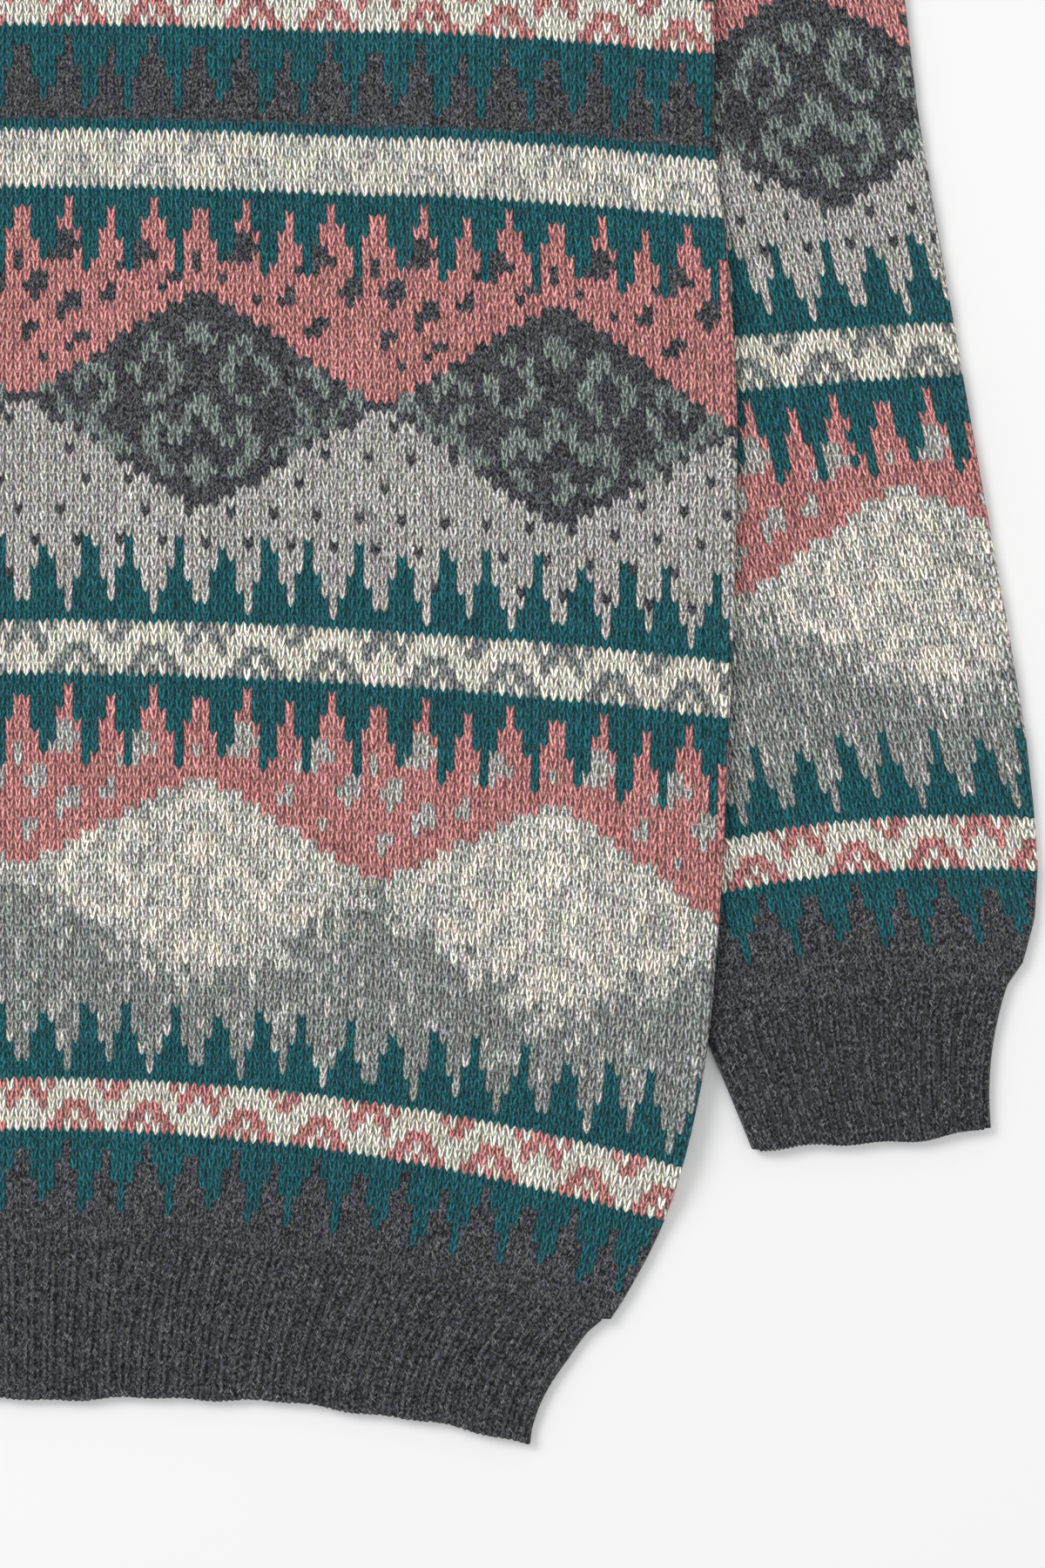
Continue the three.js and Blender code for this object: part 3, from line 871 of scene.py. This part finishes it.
def sleeve_outline():
    """The sleeve's rows from cuff to shoulder, by their height on its middle line."""
    values = {name: column(SLEEVE_ROWS, SLEEVE_COLUMNS, name) for name in SLEEVE_COLUMNS}
    lines = {name: np.array(value, float) for name, value in values.items()}
    lean = (lines["out_y"] - lines["in_y"]) / (lines["out_x"] - lines["in_x"])
    share = (SLEEVE_MIDDLE_X - lines["in_x"]) / (lines["out_x"] - lines["in_x"])
    arch = 4 * lines["bow"] * share * (1 - share)
    lines["height"] = lines["in_y"] + lean * (SLEEVE_MIDDLE_X - lines["in_x"]) + arch
    slope = lean[-1]
    top = SHOULDER_TOP - SHOULDER_DROP
    summit = top + slope * (SLEEVE_MIDDLE_X - SHOULDER_HALF)
    heights = np.linspace(lines["height"][-1], summit, 25)[1:]

    def crossing(path):
        """Where each row line crosses a path that is given by a share from 0 to 1."""
        low, high = np.zeros(heights.shape), np.ones(heights.shape)
        for _ in range(HALVINGS):
            share = (low + high) / 2
            x, y = path(share)
            below = y < heights + slope * (x - SLEEVE_MIDDLE_X)
            low, high = np.where(below, share, low), np.where(below, high, share)
        return path(low)

    def outer(share):
        turn = share * math.pi / 2
        wide, tall = lines["out_x"][-1] - SHOULDER_HALF, top - lines["out_y"][-1]
        return SHOULDER_HALF + wide * np.cos(turn), lines["out_y"][-1] + tall * np.sin(turn)

    inner_x = (lines["in_x"][-1], UNDERARM[0], SHOULDER_HALF)
    inner_y = (lines["in_y"][-1], UNDERARM[1], top)

    def inner(share):
        return np.interp(share, (0, 0.1, 1), inner_x), np.interp(share, (0, 0.1, 1), inner_y)

    out_x, out_y = crossing(outer)
    in_x, in_y = crossing(inner)
    added = {"out_x": out_x, "out_y": out_y, "in_x": in_x, "in_y": in_y, "height": heights}
    added["bow"] = np.linspace(lines["bow"][-1], 0, len(heights))
    return {name: np.concatenate([lines[name], added[name]]) for name in added}


SLEEVE_STITCH = STITCH * (1 + 0.0975 * WALE_LEAN)  # wider, as a row climbs by 0.0975 across
WRIST_SLOPE = 0.11  # how much the lowest row climbs across
FIRST_STITCH, LAST_STITCH = -42, 17  # from the wale down the sleeve's middle
FIRST_ROW, LAST_ROW = -3, 133
SLEEVE_LOFT = 0.9
TUCKED, TUCK_FADE = 25, 25  # how far in the body covers a sleeve
FOLD_FADE = 22
BODY_SIDE, BODY_FADE = 282, 20
MEND_ROWS, MEND_STITCHES = (47, 48, 49), (-5, -4)


def sleeve_place(outline, stitch, row):
    """Where a stitch of a sleeve's row is, its share of the row, the row's length, and the share
    before it is held between the folds."""
    h = np.clip(row_height(row, "sleeve"), outline["height"][0], outline["height"][-1])
    line = {key: np.interp(h, outline["height"], outline[key]) for key in outline}
    dx, dy = line["out_x"] - line["in_x"], line["out_y"] - line["in_y"]
    long = np.maximum(np.hypot(dx, dy), 1e-6)
    start = WALE_X + WALE_LEAN * (WALE_Y - line["in_y"]) - line["in_x"]
    whole = (stitch * SLEEVE_STITCH + start) / np.maximum(dx + WALE_LEAN * dy, 1e-6)
    share = np.clip(whole, 0, 1)
    arch = 4 * line["bow"] * share * (1 - share)
    x = line["in_x"] + share * dx - dy / long * arch
    y = line["in_y"] + share * dy + dx / long * arch
    return x, y, share, long, whole


def sleeve_swell(x, y, share, long):
    """A sleeve swells above its cuff, only where the body doesn't lie on it."""
    from_cuff = y - (SLEEVE_ROWS[0][3] + WRIST_SLOPE * (x - SLEEVE_ROWS[0][2]))
    shown = smooth((share * long - TUCKED) / TUCK_FADE) * smooth((1 - share) * long / FOLD_FADE)
    shown = shown * smooth((x - BODY_SIDE) / BODY_FADE)
    return (blouse(from_cuff) + SLEEVE_LOFT) * shown * smooth(from_cuff / RIB_FADE)


def sleeve_yarn(stitches, rows, mended):
    fleck = random.random_sample(stitches.shape)
    yarn = chart(stitches + HALF, np.maximum(rows, 0), fleck)
    if mended:  # a small mend in teal
        mend = np.isin(rows, MEND_ROWS) & np.isin(stitches, MEND_STITCHES)
        yarn[mend & ((rows + stitches) % 2 == 0)] = NAMES.index("teal")
    return yarn


def sleeve(name, side):
    """A flattened tube: one knitted sheet on top, one below, meeting at the two folds."""
    outline = sleeve_outline()
    k = np.arange(2 * FIRST_STITCH, 2 * LAST_STITCH)
    r = np.arange(FIRST_ROW, LAST_ROW + 1)
    rows, places = np.meshgrid(r.astype(float), k / 2.0, indexing="ij")
    _, _, _, long, whole = sleeve_place(outline, places, rows)
    inside = np.clip(np.minimum(whole, 1 - whole) * long / (2 * SLEEVE_STITCH), 0, 1)
    zigzag = np.where(np.mod(k, 2) == 0, 0.5, -0.5) * DEPTH / ROW
    rows = rows + (zigzag + jitter(rows.shape, ROW_SHIFT)) * inside
    x, y, share, long, _ = sleeve_place(outline, places, rows)
    x = x + jitter(rows.shape, SHIFT) * inside
    radius = TUBE / 2
    to_fold = np.clip(np.minimum(share, 1 - share) * long, 0, radius)
    bulge = np.sqrt(np.maximum(0, radius**2 - (radius - to_fold) ** 2))
    swell = sleeve_swell(x, y, share, long)
    at_armhole = (share < 1e-6) & (y > UNDERARM[1])
    stitches, face_rows = np.meshgrid(np.floor(k[:-1] / 2.0).astype(int), r[:-1])
    uv = np.stack(np.meshgrid(k + 0.0, r + 0.0), axis=-1)
    skin = Skin()
    for is_top in (True, False):
        z = radius + bulge + swell if is_top else radius - bulge
        z = z + np.where(at_armhole, SEAM / 2 if is_top else -SEAM / 2, 0)
        points = np.stack([side * x, y, z], axis=-1)
        plan = np.stack([x, y], axis=-1)
        low_u, high_u = (0.01, 0.49) if is_top else (0.51, 0.99)
        yarn = sleeve_yarn(stitches, face_rows, mended=is_top and side > 0)
        skin.grid(points, uv, atlas(plan, low_u, high_u, SLEEVE_BOX), yarn, is_top != (side > 0))
    piece = skin.build(name, knit)
    cut = (2 * long.max() / 1000, (y.max() - y.min()) / 1000)
    return piece


# One rib: two knit wales and a purl wale between it and the next, four steps to a wale
RIB_STEPS = (0.0, 0.75, 1.0, 0.8, 0.6, 0.8, 1.0, 0.75, 0.0, -0.6, -0.8, -0.6)
# the purl steps whose faces take the groove colour, which is painted shade
GROOVE_STEPS = (9, 10)
RIB_RISE = 0.9
RIB_ROW = 2.7


def rib_wave(step):
    """How high each step across a rib stands."""
    return RIB_RISE * np.array(RIB_STEPS)[np.mod(step, len(RIB_STEPS))]


# Places down a rib, from its top, 0, to the cast-on edge, 1
DOWNS = (*np.linspace(0, 0.84, 15), 0.86, 0.875, 0.89, 0.92, 0.95, 0.975, 0.99, 1.0)
CAST_ON = 0.875  # where the cast-on groove is
ROLL = 0.95  # and the roll below it
GROOVE_DEPTH, ROLL_RISE, SCALLOP = 0.8, 0.5, 0.7
HEM_RAGGED, CUFF_RAGGED = 0.55, 0.6  # how uneven the cast-on edge is


def rib_strength(down):
    """The ribs fade in below the knitted cloth and fade out towards the cast-on edge."""
    return np.clip(down * 6, 0.15, 1) * np.clip(1 - (down - CAST_ON) * 14, 0.3, 1)


def cast_on_roll(down):
    """A shallow groove, and a soft roll between it and the edge."""
    groove = GROOVE_DEPTH * np.exp(-(((down - CAST_ON) / 0.014) ** 2))
    return ROLL_RISE * np.exp(-(((down - ROLL) / 0.035) ** 2)) - groove


def rim_thickness(down):
    """The share of the wall's thickness that is left near the cast-on edge."""
    return np.interp(down, (0.96, 0.985, 1.0), (1.0, 0.88, 0.5))


def scallops(step, down):
    """Each wale of the cast-on edge stands out a little."""
    return SCALLOP * np.abs(np.sin(step * math.pi / 4)) * np.clip((down - ROLL) * 20, 0, 1)


def rib_yarn(steps):
    """The yarn of each face of a rib, with painted shade in the purl grooves: their faces take the
    darker groove colour.
    """
    step = np.mod(steps[:-1], len(RIB_STEPS))
    return np.where(np.isin(step, GROOVE_STEPS), NAMES.index("groove"), NAMES.index("rib"))


def rib_map(steps, rows_up):
    """Stitch coordinates of a rib: two strands to a wale, with each stitch's V pointing down."""
    step, up = np.meshgrid(steps, rows_up)
    return np.stack([step / 2.0, up + 0.3 * np.cos(step * math.pi / 2)], axis=-1)


def hem_rib(name, is_front):
    """One ribbed strip of the hem, drawn in below its panel."""
    ribs = 54
    steps = np.arange(ribs * len(RIB_STEPS) + 1)
    downs = np.array(DOWNS)
    panel_half = BODY_ROWS[0][1]

    def sheet_points(across, down, outer):
        half = HEM_BOTTOM + (HEM_TOP - HEM_BOTTOM) * (1 - down) ** HEM_CURVE
        drop = HEM_TOP_DROP + (HEM_BOTTOM_DROP - HEM_TOP_DROP) * down
        reach = across * half / (panel_half + (half - panel_half) * smooth(down * 3))
        fall = drop * np.abs(reach) ** (2 + down)
        x = half * across
        waves = np.sin(x / 9.3) + np.sin(x / 23.0 + 1) + 0.7 * np.sin(x / 4.1 + 2)
        y = (HEM_HEIGHT + SEAM / 2) * (1 - down) - fall - HEM_RAGGED * waves * down**4
        if outer:
            y = y - scallops(steps, down)
        base = lift(x, y) + WALL + (SEAM if is_front else 0)
        if not outer:
            return np.stack([x, y, base], axis=-1)
        thick = round_edge(half - np.abs(x)) * rim_thickness(down)
        if is_front:
            ripple = rib_wave(steps) * rib_strength(down) + cast_on_roll(down)
            return np.stack([x, y, base + thick + ripple], axis=-1)
        return np.stack([x, y, np.maximum(base - thick, 0)], axis=-1)

    across, down = np.meshgrid(2 * steps / steps[-1] - 1, downs[::-1])
    outer = sheet_points(across, down, True)
    uv = rib_map(steps, (1 - downs[::-1]) * HEM_HEIGHT / RIB_ROW)
    flat = atlas(outer, *OUTSIDE_STRIP, HEM_BOX)
    skin = Skin()
    outside = skin.grid(outer, uv, flat, rib_yarn(steps), not is_front)
    across, down = np.meshgrid(np.linspace(-1, 1, 61), downs[::-2])
    inner = sheet_points(across, down, False)
    uv = inner[..., :2] / np.array([STITCH / 2, RIB_ROW])
    flat = atlas(inner, *INSIDE_STRIP, HEM_BOX)
    inside = skin.grid(inner, uv, flat, NAMES.index("rib"), is_front)
    skin.join_rims(outside, inside, ("rib",) * 4, is_front)
    piece = skin.build(name, rib)
    return piece


def ring_places(top_steps, under_steps, fold_steps):
    """Round a flattened tube: across, turn in degrees and rib step, the first place repeated."""
    places = [(k / top_steps, 90.0, k) for k in range(top_steps + 1)]
    places += [(1.0, 90 - 180 * k / fold_steps, 0) for k in range(1, fold_steps)]
    places += [(1 - k / under_steps, -90.0, 0) for k in range(under_steps + 1)]
    places += [(0.0, -90 - 180 * k / fold_steps, 0) for k in range(1, fold_steps)]
    return np.array(places + places[:1])


def ring_tube(name, rings, places, downs, rows, side):
    """A ribbed tube with an inner face: rings gives the points of a ring, outer or inner."""
    skin = Skin()
    yarn = NAMES.index("rib")
    steps = np.arange(len(places))
    outer = np.stack([rings(places, down, True) for down in downs])
    inner_places = places[:: max(1, len(places) // 90)]
    inner_places = np.concatenate([inner_places, places[-1:]])
    inner = np.stack([rings(inner_places, down, False) for down in downs])
    mirror = np.array([side, 1, 1])
    grids = []
    for points, low_v, high_v, is_outer in ((outer, 0.01, 0.84, True), (inner, 0.87, 0.99, False)):
        count = points.shape[1]
        around = np.linspace(0.01, 0.99, count)
        up = low_v + (high_v - low_v) * (1 - np.asarray(downs))
        flat = np.stack(np.meshgrid(around, up), axis=-1)
        index = steps if is_outer else np.arange(count)
        uv = rib_map(index, rows * (1 - np.asarray(downs)))
        flip = is_outer == (side > 0)
        face_yarn = rib_yarn(places[:, 2]) if is_outer else yarn
        grids.append(skin.grid(points * mirror, uv, flat, face_yarn, not flip))
    for end in (0, -1):
        pair = (grids[0][end], grids[1][end])
        pair = pair if (end == 0) == (side > 0) else pair[::-1]
        skin.bridge(*pair, yarn)
    return skin.build(name, rib)


def cuff(name, side):
    """A ribbed cuff: a flattened tube from the wrist to the cast-on edge."""
    wrist_out, wrist_in, wrist_bow = SLEEVE_ROWS[0][:2], SLEEVE_ROWS[0][2:4], SLEEVE_ROWS[0][4]
    ribs = 17
    places = ring_places(ribs * len(RIB_STEPS), 80, 4)
    length = wrist_out[1] - CUFF_OUTER[1]

    def rings(spots, down, is_outer):
        across, turn, step = spots[:, 0], np.radians(spots[:, 1]), spots[:, 2].astype(int)
        waist = CUFF_WAIST * 4 * down * (1 - down)
        left = np.array(wrist_in) * (1 - down) + np.array(CUFF_INNER) * down
        right = np.array(wrist_out) * (1 - down) + np.array(CUFF_OUTER) * down
        right = right - np.array([waist, 0])
        bow = wrist_bow + (CUFF_BOW - wrist_bow) * down
        middle = WALL + SEAM / 2
        radius = middle if is_outer else SEAM / 2
        long = np.hypot(*(right - left))
        ux, uy = (right - left) / long
        inset = middle + (long - 2 * middle) * across
        lean = 4 * bow * across * (1 - across)
        on_top = np.abs(spots[:, 1] - 90) < 1e-6
        within = np.clip(np.minimum(across, 1 - across) * 12, 0, 1)
        thin, ripple, edge = 1.0, 0.0, 0.0
        if is_outer:
            thin = (1 + rim_thickness(down)) / 2
            ripple = (rib_wave(step) * rib_strength(down) + cast_on_roll(down)) * within * on_top
            edge = scallops(step, down)
        run = inset + radius * np.cos(turn)
        ragged = np.sin(run / 4.7) + np.sin(run / 11.0 + 2)
        x = left[0] + ux * run - uy * lean
        y = left[1] + uy * run + ux * lean - CUFF_RAGGED * ragged * down**4 - edge
        z = middle + radius * np.sin(turn) * thin + ripple
        return np.stack([x, y, np.maximum(z, 0)], axis=-1)

    piece = ring_tube(name, rings, places, DOWNS, length / RIB_ROW, side)
    return piece


def neckband(name):
    """A doubled ribbed band that dips along the front neckline and lies on itself."""
    band_half, band_rise, front_dip, back_dip = 78.0, 17.0, 74.0, 13.0  # at its inner edge
    neck_steps, ribs, stitch_rows = 14, 38, 9.0
    rim, on_front = 0.75, (0.35, 0.65)  # thickness left at an edge; where the front part starts
    places = ring_places(ribs * len(RIB_STEPS), 140, 4)
    downs = np.concatenate([(0.0, 0.015), np.linspace(0.06, 0.94, 9), (0.985, 1.0)])
    corners = np.linspace(0, math.pi, neck_steps + 1)

    def rings(spots, down, is_outer):
        up = 1 - down
        across, turn, step = spots[:, 0], np.radians(spots[:, 1]), spots[:, 2].astype(int)
        place_x = np.interp(across * neck_steps, range(neck_steps + 1), -np.cos(corners))
        place_y = np.interp(across * neck_steps, range(neck_steps + 1), np.sin(corners))
        half = (NECK_HALF - SEAM) * (1 - up) + band_half * up
        front_depth = (FRONT_NECK - SEAM) * (1 - up) + front_dip * up
        back_depth = (BACK_NECK - SEAM) * (1 - up) + back_dip * up
        on_top = np.abs(spots[:, 1] - 90) < 1e-6
        below = np.abs(spots[:, 1] + 90) < 1e-6
        fold = ~(on_top | below)
        depth = np.where(on_top, front_depth, np.where(below, back_depth, 0.0))
        radius = (BAND_WALL + SEAM) / 2
        on_back = 1 - smooth((place_y - on_front[0]) / (on_front[1] - on_front[0]))
        front_middle = WALL + SEAM + BAND_WALL / 2 + (BAND_WALL - WALL) * on_back
        fold_middle = BAND_WALL / 2 + radius + radius * np.sin(turn)
        middle = np.where(on_top, front_middle, np.where(below, BAND_WALL / 2, fold_middle))
        outward = np.where(fold, np.cos(turn) * radius * math.sqrt(0.5), 0)
        thin = rim if down in (0.0, 1.0) else 1.0
        reach = BAND_WALL * thin / 2 * (1 if is_outer else -1)
        if is_outer:
            reach = reach + rib_wave(step) * on_top * np.clip(place_y * 20, 0, 1)
        out = np.where(fold, np.cos(turn) * reach * math.sqrt(0.5) + outward, 0)
        x = half * place_x + out
        y = SHOULDER_TOP + SEAM + band_rise * up - depth * place_y + np.abs(out)
        return np.stack([x, y, np.maximum(middle + np.sin(turn) * reach, 0)], axis=-1)

    piece = ring_tube(name, rings, places, downs, stitch_rows, 1)
    return piece


def stage():
    """A plain pale floor and soft studio light."""
    floor_size, floor_drop, floor_grey = 12, 0.0002, 0.91
    bpy.ops.mesh.primitive_plane_add(size=floor_size, location=(0, 0, -floor_drop))
    floor = bpy.context.object
    floor.name = "floor"
    material, _, _, shader = new_material("floor_white")
    shader.inputs["Base Color"].default_value = (*[floor_grey] * 3, 1)
    shader.inputs["Roughness"].default_value = 0.9
    shader.inputs["Specular IOR Level"].default_value = 0.1
    floor.data.materials.append(material)

    def area(light_name, location, size, power):
        light = bpy.data.lights.new(light_name, "AREA")
        light.shape = "DISK"
        light.size = size
        light.energy = power
        lamp = bpy.data.objects.new(light_name, light)
        lamp.location = location
        bpy.context.scene.collection.objects.link(lamp)
        x, y, z = location
        lamp.rotation_euler = (math.atan2(math.hypot(x, y), z), 0, math.atan2(x, -y))

    area("key", location=(-1.3, 1.1, 1.9), size=1.3, power=34)
    area("fill", location=(1.4, -0.9, 2.2), size=2.2, power=12)
    world = bpy.data.worlds.new("studio")
    world.use_nodes = True
    sky = world.node_tree.nodes["Background"].inputs
    sky["Color"].default_value = (1, 1, 1, 1)
    sky["Strength"].default_value = 0.62
    bpy.context.scene.world = world
    bpy.context.scene.view_settings.view_transform = "Standard"


def camera():
    """The photograph's frame: 408 by 612 mm of the garment, seen from straight above."""
    frame_long, distance, sensor, cloth_top = 0.612, 1.45, 36, 0.008
    middle_x, middle_y = 195.5, 239.7  # of the picture, in the garment's frame
    data = bpy.data.cameras.new("camera")
    data.sensor_fit = "AUTO"
    data.sensor_width = sensor
    data.lens = sensor * distance / frame_long
    eye = bpy.data.objects.new("camera", data)
    centre = place(np.array([middle_x, middle_y, 0.0]))
    eye.location = (centre[0], centre[1], distance + cloth_top)
    eye.rotation_euler = (0, 0, 0)
    bpy.context.scene.collection.objects.link(eye)
    bpy.context.scene.camera = eye


dressed = (
    (body_panel("front_knit", True), "front", "knit"),
    (body_panel("back_knit", False), "back", "knit"),
    (sleeve("sleeve_left_knit", 1), "sleeve_left", "knit"),
    (sleeve("sleeve_right_knit", -1), "sleeve_right", "knit"),
    (hem_rib("hem_front_rib", True), "hem_rib_front", "rib"),
    (hem_rib("hem_back_rib", False), "hem_rib_back", "rib"),
    (cuff("cuff_left_rib", 1), "cuff_left", "rib"),
    (cuff("cuff_right_rib", -1), "cuff_right", "rib"),
    (neckband("neckband_rib"), "neckband", "rib"),
)
for piece, node, material_slot in dressed:
    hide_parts(node)
    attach(piece, "root")
stage()
camera()
